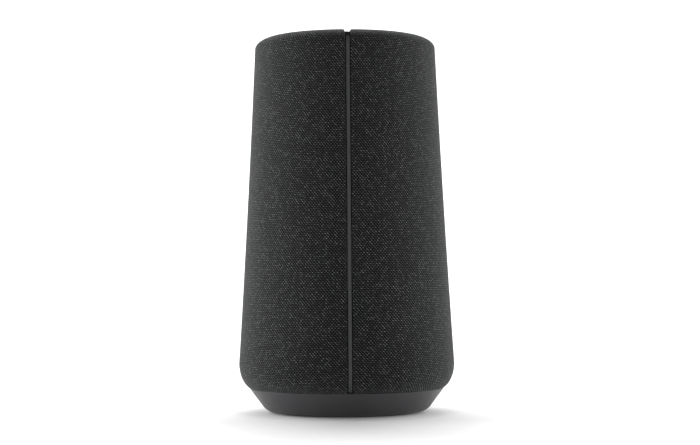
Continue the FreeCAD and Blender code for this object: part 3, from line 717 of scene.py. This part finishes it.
def skirt_outline():
    """The skirt's section: the sloping outside with its rounded foot, and its plain inside."""
    s = sizes()
    top_z = SKIRT_HIGH.z + s.lip_rise
    low_z = SKIRT_LOW.z
    rim = Vector((node_radius("base_skirt"), top_z))
    turn = math.pi / 2 - s.skirt_lean
    corner_r = rim.x - (top_z - low_z) * math.tan(s.skirt_lean)
    centre = Vector((corner_r - s.skirt_foot_r * math.tan(turn / 2), low_z + s.skirt_foot_r))
    steps = 14
    angles = [turn * step / steps for step in range(steps + 1)]
    foot = [centre + Vector((math.sin(angle), -math.cos(angle))) * s.skirt_foot_r for angle in angles]
    side = [foot[-1].lerp(rim, share) for share in (0.2, 0.4, 0.6, 0.8)]
    crest = rounded_corner(rim, foot[-1], Vector((SHELF_R, top_z)), s.skirt_lip, steps=6)
    return foot + side + crest + skirt_inside(top_z, low_z)


def skirt_inside(top_z, low_z):
    """The inner side of the skirt's section, from its shelf down to its bore."""
    shelf_z = top_z - 2 * MM
    wall_top_r = 60.5 * MM
    wall_foot_r = 54.6 * MM
    ledge_r = 43.5 * MM
    ledge_top = 6.0 * MM
    ledge_z = 3.8 * MM
    bore_r = node_radius("bottom_cover") + 0.3 * MM
    edge = 0.2 * MM
    return [(SHELF_R, top_z), (SHELF_R, shelf_z), (wall_top_r, shelf_z), (wall_foot_r, ledge_top),
            (ledge_r, ledge_top), (ledge_r, ledge_z), (bore_r, ledge_z), (bore_r, low_z + edge),
            (bore_r + edge, low_z)]


def foot_outline():
    """The rubber foot's section: a sole with three grooves and rounded edges, and a plain top."""
    low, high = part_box("foot_ring")
    outer = node_radius("foot_ring")
    inner = 38.5 * MM
    edge = 0.3 * MM
    groove_half = 0.5 * MM
    groove_floor_half = 0.3 * MM
    groove_z = low.z + 0.4 * MM
    grooves = 3
    sole = [(inner + edge, low.z)]
    for k in range(1, grooves + 1):
        middle = inner + (outer - inner) * k / (grooves + 1)
        sole += [(middle - groove_half, low.z), (middle - groove_floor_half, groove_z),
                 (middle + groove_floor_half, groove_z), (middle + groove_half, low.z)]
    sole += [(outer - edge, low.z), (outer, low.z + edge)]
    return sole + [(outer, high.z), (inner, high.z), (inner, low.z + edge)]


def cut_channel(piece):
    """Cuts the lead's way through a piece, on out past its side and its foot."""
    openings = frame["record"]["physics"]["openings"]
    low, high = next(opening["box_m"] for opening in openings if opening["name"] == "lead_channel")
    slack = 0.5 * MM
    past_side = 20 * MM
    past_foot = 10 * MM
    past_bay = 1.5 * MM
    near = Vector(low) - Vector((past_side, slack, past_foot))
    far = Vector(high) + Vector((past_bay, slack, slack))
    cut_away(piece, near, far)


# ---------------------------------------------------------------- key marks

def flat_shape(bm, outline, low, high):
    """A flat plate with this outline."""
    floor = [bm.verts.new((x, y, low)) for x, y in outline]
    roof = [bm.verts.new((x, y, high)) for x, y in outline]
    bm.faces.new(floor[::-1])
    bm.faces.new(roof)
    for k in range(len(outline)):
        ahead = (k + 1) % len(outline)
        bm.faces.new((floor[k], floor[ahead], roof[ahead], roof[k]))


def bar(bm, x0, x1, y0, y1, z0, z1):
    """A flat bar with rounded ends."""
    radius = min(x1 - x0, y1 - y0) / 2
    steps = 4
    outline = []
    for cx, cy, first in ((x1 - radius, y1 - radius, 0), (x0 + radius, y1 - radius, 90),
                          (x0 + radius, y0 + radius, 180), (x1 - radius, y0 + radius, 270)):
        for step in range(steps + 1):
            angle = math.radians(first + 90 * step / steps)
            outline.append((cx + radius * math.cos(angle), cy + radius * math.sin(angle)))
    flat_shape(bm, outline, z0, z1)


def mark_minus(bm, x, y, z0, z1):
    """One flat bar."""
    bar(bm, x - MARK_REACH, x + MARK_REACH, y - MARK_HALF, y + MARK_HALF, z0, z1)


def mark_plus(bm, x, y, z0, z1):
    """Two crossed bars."""
    mark_minus(bm, x, y, z0, z1)
    bar(bm, x - MARK_HALF, x + MARK_HALF, y - MARK_REACH, y + MARK_REACH, z0, z1)


def mark_play(bm, x, y, z0, z1):
    """A triangle and two upright bars."""
    size = 2.2 * MM
    tail = x - size * 1.35
    tip = x + size * 0.25
    bar_width = 0.5 * MM
    flat_shape(bm, [(tail, y - size), (tip, y), (tail, y + size)], z0, z1)
    for left in (x + 0.75 * MM, x + 1.6 * MM):
        bar(bm, left, left + bar_width, y - size, y + size, z0, z1)


def mark_mic(bm, x, y, z0, z1):
    """A microphone: its capsule, the cradle round it, its stem and its foot."""
    capsule_half = 0.75 * MM
    stem_half = 0.25 * MM
    foot_half = 1.1 * MM
    bar(bm, x - capsule_half, x + capsule_half, y - 0.2 * MM, y + 2.4 * MM, z0, z1)
    cradle_y = y + 0.45 * MM
    steps = 14
    outline = []
    for radius, order in ((1.75 * MM, range(steps + 1)), (1.3 * MM, range(steps, -1, -1))):
        for step in order:
            angle = math.radians(180 + 180 * step / steps)
            outline.append((x + radius * math.cos(angle), cradle_y + radius * math.sin(angle)))
    flat_shape(bm, outline, z0, z1)
    bar(bm, x - stem_half, x + stem_half, y - 2.3 * MM, y - 1.2 * MM, z0, z1)
    bar(bm, x - foot_half, x + foot_half, y - 2.6 * MM, y - 2.15 * MM, z0, z1)


KEYS = (("play_key", "play_key_cap", mark_play), ("volume_up_key", "volume_up_key_cap", mark_plus),
        ("volume_down_key", "volume_down_key_cap", mark_minus), ("mic_key", "mic_key_cap", mark_mic))


# ---------------------------------------------------------------- operators

class SpeakerOperator:
    bl_options = {"REGISTER", "UNDO"}


class SPEAKER_OT_sleeve(SpeakerOperator, bpy.types.Operator):
    """Build the knitted sleeve that covers the body"""
    bl_idname = "speaker.sleeve"
    bl_label = "Knitted Sleeve"

    def execute(self, context):
        finish = knit("sleeve_knit_finish")
        sleeve = new_piece("knitted_sleeve", knit_sleeve(), "housing", finish,
                           ["fabric_sleeve"])
        run = arc_lengths([point for point, _ in sleeve_rows()])[-1]
        return {"FINISHED"}


class SPEAKER_OT_seam(SpeakerOperator, bpy.types.Operator):
    """Build the plastic strip that closes the sleeve down the back"""
    bl_idname = "speaker.seam"
    bl_label = "Seam Strip"

    def execute(self, context):
        finish = moulded_plastic("seam_strip_finish", colours().strip[:], roughness=0.42, grain=0.0003)
        new_piece("seam_bar", seam_bar(), "housing", finish, ["seam_strip"])
        return {"FINISHED"}


class SPEAKER_OT_skirt(SpeakerOperator, bpy.types.Operator):
    """Build the plain skirt with its channel for the lead"""
    bl_idname = "speaker.skirt"
    bl_label = "Base Skirt"

    def execute(self, context):
        finish = moulded_plastic("skirt_finish", colours().skirt[:], roughness=0.42, grain=0.0004, gloss=0.3)
        shell = lathe(skirt_outline(), segments=256)
        skirt = new_piece("skirt_shell", shell, "housing", finish, ["base_skirt"])
        cut_channel(skirt)
        skirt.data.set_sharp_from_angle(angle=PART_CREASE)
        return {"FINISHED"}


class SPEAKER_OT_foot(SpeakerOperator, bpy.types.Operator):
    """Build the grooved rubber foot"""
    bl_idname = "speaker.foot"
    bl_label = "Rubber Foot"

    def execute(self, context):
        finish = rubber("foot_finish", (0.022, 0.022, 0.023))
        ring = lathe(foot_outline(), segments=192)
        foot = new_piece("rubber_foot", ring, "housing", finish, ["foot_ring"])
        cut_channel(foot)
        return {"FINISHED"}


class SPEAKER_OT_keys(SpeakerOperator, bpy.types.Operator):
    """Give the keys on the deck their finish and their marks"""
    bl_idname = "speaker.keys"
    bl_label = "Keys"

    def execute(self, context):
        finish = moulded_plastic("key_finish", colours().key[:], roughness=0.5, grain=0.0003)
        ink = moulded_plastic("key_mark_finish", colours().mark[:], roughness=0.55, grain=0.0002)
        face_drop = 0.24 * MM
        root_drop = 0.42 * MM
        for node, body, draw in KEYS:
            set_finish(node, finish)
            low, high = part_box(node)
            centre = (low + high) / 2
            bm = bmesh.new()
            draw(bm, centre.x, centre.y, high.z - root_drop, high.z - face_drop)
            new_piece(node + "_mark", bm, body, ink)
        set_finish("service_button", finish)
        return {"FINISHED"}


FINISHES = (
    (("grille_frame",), flocked_black, (0.013, 0.013, 0.0132)),
    (("chassis", "cabinet_front", "cabinet_rear"), moulded_plastic, (0.012, 0.012, 0.013)),
    (("bottom_cover",), moulded_plastic, (0.018, 0.018, 0.019)),
    (("top_bezel",), moulded_plastic, (0.016, 0.016, 0.017)),
    (("cabinet_gasket", "woofer_gasket", "mic_seals"), rubber, (0.02, 0.02, 0.021)),
    (("woofer_surround", "radiator_surround", "tweeter_surround"), rubber, (0.014, 0.014, 0.015)),
    (("bottom_screws", "board_screws", "cabinet_screws", "driver_screws"), turned_metal, (0.3, 0.3, 0.31)),
    (("power_board", "main_board", "key_board"), circuit_laminate, (0.012, 0.085, 0.035)),
    (("power_parts", "main_board_parts", "service_switch", "key_switches", "microphones"), moulded_part,
     (0.03, 0.03, 0.032)),
    (("power_inlet",), moulded_plastic, (0.01, 0.01, 0.01)),
    (("inlet_pin", "antenna", "standoffs"), turned_metal, (0.75, 0.68, 0.5)),
    (("heat_sink", "radiator_plate"), turned_metal, (0.72, 0.73, 0.75)),
    (("woofer_cone", "woofer_dust_cap"), pressed_paper, (0.02, 0.02, 0.02)),
    (("voice_coil", "tweeter_coil"), turned_metal, (0.72, 0.36, 0.2)),
    (("woofer_spider",), woven_cloth, (0.55, 0.42, 0.14)),
    (("tweeter_dome",), woven_cloth, (0.02, 0.02, 0.022)),
    (("woofer_basket", "radiator_frame", "tweeter_plate"), moulded_plastic, (0.015, 0.015, 0.015)),
    (("woofer_magnet",), moulded_part, (0.03, 0.03, 0.03)),
    (("woofer_top_plate", "woofer_yoke", "tweeter_motor"), turned_metal, (0.6, 0.6, 0.52)),
    (("damping_pad",), woven_cloth, (0.6, 0.6, 0.58)),
    (("woofer_lead", "ribbon_cable"), rubber, (0.3, 0.02, 0.02)),
    (("lamps",), moulded_plastic, (0.75, 0.73, 0.55)),
)


class SPEAKER_OT_finishes(SpeakerOperator, bpy.types.Operator):
    """Give every inner and lower part its finish"""
    bl_idname = "speaker.finishes"
    bl_label = "Part Finishes"

    def execute(self, context):
        for names, make, values in FINISHES:
            material = make(names[0] + "_finish", values)
            for name in names:
                set_finish(name, material)
        return {"FINISHED"}


class SPEAKER_OT_deck(SpeakerOperator, bpy.types.Operator):
    """Finish the deck and the light ring"""
    bl_idname = "speaker.deck"
    bl_label = "Top Deck"

    def execute(self, context):
        set_finish("top_deck", moulded_plastic("deck_finish", colours().deck[:], roughness=0.5, grain=0.0003))
        set_finish("light_ring", light_guide("light_ring_finish"))
        return {"FINISHED"}


# ---------------------------------------------------------------- stage

def paper_finish():
    """White paper with a glow of its own. The glow is left out at the speaker's foot and held down in an oval
    that reaches out towards the camera, a painted shadow. It is clear from below.
    """
    shade_squash = (1.0, 0.6, 1.0)
    shade_shift = (0.0, -0.051, 0.0)
    foot_r = 0.048
    painted_shadow_edge_r = 0.08
    shade_run = 0.10
    least_glow = 0.1
    most_glow = 0.52
    f = Finish("sweep_finish")
    f.set(Base_Color=f.mix(f.noise(0.4), (0.58, 0.58, 0.58), (0.6, 0.6, 0.6)), Roughness=0.9)
    oval = f.add("ShaderNodeMapping")
    oval.inputs["Scale"].default_value = shade_squash
    oval.inputs["Location"].default_value = shade_shift
    f.join(f.place(), oval.inputs["Vector"])
    spot = f.add("ShaderNodeVectorMath", operation="LENGTH")
    f.join(oval.outputs["Vector"], spot.inputs[0])
    near = f.add("ShaderNodeVectorMath", operation="LENGTH")
    f.join(f.place(), near.inputs[0])
    # Painted shadow: the glow is nil at the speaker's foot and rises to full a little way out. It is also
    # held down inside an oval that reaches out towards the camera. Only the least glow is left in the shadow.
    rim = f.scale(near.outputs["Value"], foot_r, painted_shadow_edge_r, 0.0, most_glow)
    spread = f.scale(spot.outputs["Value"], 0.0, shade_run, 0.0, 1.0)
    f.set(Emission_Strength=f.math("ADD", f.math("MULTIPLY", rim, spread), least_glow))
    f.shader.inputs["Emission Color"].default_value = (1.0, 1.0, 1.0, 1.0)
    f.shader.inputs["Specular IOR Level"].default_value = 0.1
    one_way = f.add("ShaderNodeMixShader")
    f.join(f.add("ShaderNodeNewGeometry").outputs["Backfacing"], one_way.inputs["Fac"])
    f.join(f.shader.outputs[0], one_way.inputs[1])
    f.join(f.add("ShaderNodeBsdfTransparent").outputs[0], one_way.inputs[2])
    f.join(one_way.outputs[0], f.nodes["Material Output"].inputs["Surface"])
    return f.material


def paper_sweep():
    """The paper's mesh: a floor just under the speaker that curves up into a wall beyond it."""
    curve_r = 0.6
    curve_steps = 16
    wall_y = -2.4
    wall_top = 4.0
    half_width = 4.0
    floor_z = -0.1 * MM
    path = [(y, 0.0) for y in (4.5, 1.5, 0.5, 0.0, -1.0, wall_y + curve_r)]
    for step in range(1, curve_steps + 1):
        angle = math.pi / 2 * step / curve_steps
        path.append((wall_y + curve_r * (1 - math.sin(angle)), curve_r * (1 - math.cos(angle))))
    path.append((wall_y, wall_top))
    bm = bmesh.new()
    rows = [[bm.verts.new((x, y, z + floor_z)) for x in (-half_width, 0.0, half_width)] for y, z in path]
    for a, b in zip(rows, rows[1:]):
        for k in (0, 1):
            bm.faces.new((a[k], b[k], b[k + 1], a[k + 1]))
    mesh = bpy.data.meshes.new("sweep")
    bm.to_mesh(mesh)
    bm.free()
    for polygon in mesh.polygons:
        polygon.use_smooth = True
    return mesh


def paper_floor():
    """The sweep of paper that the speaker stands on."""
    sweep = bpy.data.objects.new("sweep", paper_sweep())
    sweep.data.materials.append(paper_finish())
    bpy.context.scene.collection.objects.link(sweep)


def soft_light(name, place, aim, width, height, watts):
    """A soft box at one place, aimed at another."""
    light = bpy.data.lights.new(name, "AREA")
    light.shape = "RECTANGLE"
    light.size = width
    light.size_y = height
    light.energy = watts
    lamp = bpy.data.objects.new(name, light)
    lamp.location = place
    lamp.rotation_euler = (Vector(aim) - Vector(place)).to_track_quat("-Z", "Y").to_euler()
    bpy.context.scene.collection.objects.link(lamp)


def soft_lights():
    """A soft box at each side, one by the camera, one overhead and one on the wall."""
    middle = (0.0, 0.0, 0.12)
    low_middle = (0.0, 0.0, 0.04)
    wall = (0.0, -2.4, 1.5)
    soft_light("left_bank", (1.1, -0.25, 0.45), middle, width=0.7, height=1.3, watts=14.5)
    soft_light("right_bank", (-1.1, -0.25, 0.45), middle, width=0.7, height=1.3, watts=10.0)
    soft_light("front_fill", (0.0, 1.35, 0.1), low_middle, width=1.0, height=0.3, watts=0.8)
    soft_light("overhead", (0.0, -1.3, 1.7), middle, width=1.8, height=1.0, watts=8.5)
    soft_light("wall_wash", (0.0, -0.9, 1.9), wall, width=3.0, height=0.8, watts=60.0)


def studio_world():
    """A white surround to look at, which lights the speaker less and dims towards the zenith."""
    seen_glow = 1.1
    level_glow = 0.42
    zenith_glow = 0.08
    world = bpy.data.worlds.new("studio")
    world.use_nodes = True
    nodes = world.node_tree.nodes
    links = world.node_tree.links
    background = nodes["Background"]
    background.inputs["Color"].default_value = (1.0, 1.0, 1.0, 1.0)
    ray = nodes.new("ShaderNodeLightPath")
    sky = nodes.new("ShaderNodeTexCoord")
    rise = nodes.new("ShaderNodeSeparateXYZ")
    dim = nodes.new("ShaderNodeMapRange")
    dim.inputs["To Min"].default_value = level_glow
    dim.inputs["To Max"].default_value = zenith_glow
    glow = nodes.new("ShaderNodeMapRange")
    glow.inputs["To Max"].default_value = seen_glow
    links.new(sky.outputs["Generated"], rise.inputs[0])
    links.new(rise.outputs["Z"], dim.inputs["Value"])
    links.new(dim.outputs["Result"], glow.inputs["To Min"])
    links.new(ray.outputs["Is Camera Ray"], glow.inputs["Value"])
    links.new(glow.outputs["Result"], background.inputs["Strength"])
    bpy.context.scene.world = world


def view_camera():
    """The camera, a little below the middle of the speaker and facing its back."""
    s = stage_settings()
    data = bpy.data.cameras.new("view")
    data.lens = s.lens
    data.sensor_width = 36.0
    data.shift_x = s.slide_x
    data.shift_y = s.slide_y
    data.clip_start = 0.01
    camera = bpy.data.objects.new("view", data)
    camera.location = (s.distance * math.sin(s.turn), s.distance * math.cos(s.turn), s.eye_height)
    look = Vector((-math.sin(s.turn) * math.cos(s.tilt), -math.cos(s.turn) * math.cos(s.tilt),
                   math.sin(s.tilt)))
    base = look.to_track_quat("-Z", "Y")
    camera.rotation_mode = "QUATERNION"
    camera.rotation_quaternion = base @ Matrix.Rotation(s.roll, 3, "Z").to_quaternion()
    bpy.context.scene.collection.objects.link(camera)
    bpy.context.scene.camera = camera


class SPEAKER_OT_stage(SpeakerOperator, bpy.types.Operator):
    """Set up the pale sweep, the soft lights and the camera"""
    bl_idname = "speaker.stage"
    bl_label = "Stage"

    def execute(self, context):
        paper_floor()
        soft_lights()
        studio_world()
        bpy.context.scene.view_settings.view_transform = "Standard"
        view_camera()
        return {"FINISHED"}


class SPEAKER_PT_build(bpy.types.Panel):
    """Lists the speaker's sizes, colours and building steps"""
    bl_idname = "SPEAKER_PT_build"
    bl_label = "Round Smart Speaker"
    bl_space_type = "VIEW_3D"
    bl_region_type = "UI"
    bl_category = "Speaker"

    def draw(self, context):
        for operator in OPERATORS:
            self.layout.operator(operator.bl_idname)
        for heading, group in (("Sizes", sizes()), ("Colours", colours()), ("Stage", stage_settings())):
            column = self.layout.column()
            column.label(text=heading)
            for name in group.bl_rna.properties.keys():
                if name not in ("rna_type", "name"):
                    column.prop(group, name)


OPERATORS = (SPEAKER_OT_sleeve, SPEAKER_OT_seam, SPEAKER_OT_skirt, SPEAKER_OT_foot, SPEAKER_OT_deck,
             SPEAKER_OT_keys, SPEAKER_OT_finishes, SPEAKER_OT_stage)
GROUPS = (("speaker_sizes", SpeakerSizes), ("speaker_colours", SpeakerColours),
          ("speaker_stage", StageSettings))


def register():
    for name, group in GROUPS:
        bpy.utils.register_class(group)
        setattr(bpy.types.Scene, name, PointerProperty(type=group))
    for operator in OPERATORS:
        bpy.utils.register_class(operator)
    bpy.utils.register_class(SPEAKER_PT_build)


def unregister():
    bpy.utils.unregister_class(SPEAKER_PT_build)
    for operator in reversed(OPERATORS):
        bpy.utils.unregister_class(operator)
    for name, group in reversed(GROUPS):
        delattr(bpy.types.Scene, name)
        bpy.utils.unregister_class(group)


def main():
    register()
    for operator in OPERATORS:
        module, name = operator.bl_idname.split(".")
        getattr(getattr(bpy.ops, module), name)()
    bpy.context.view_layer.update()


if __name__ == "__main__":
    main()
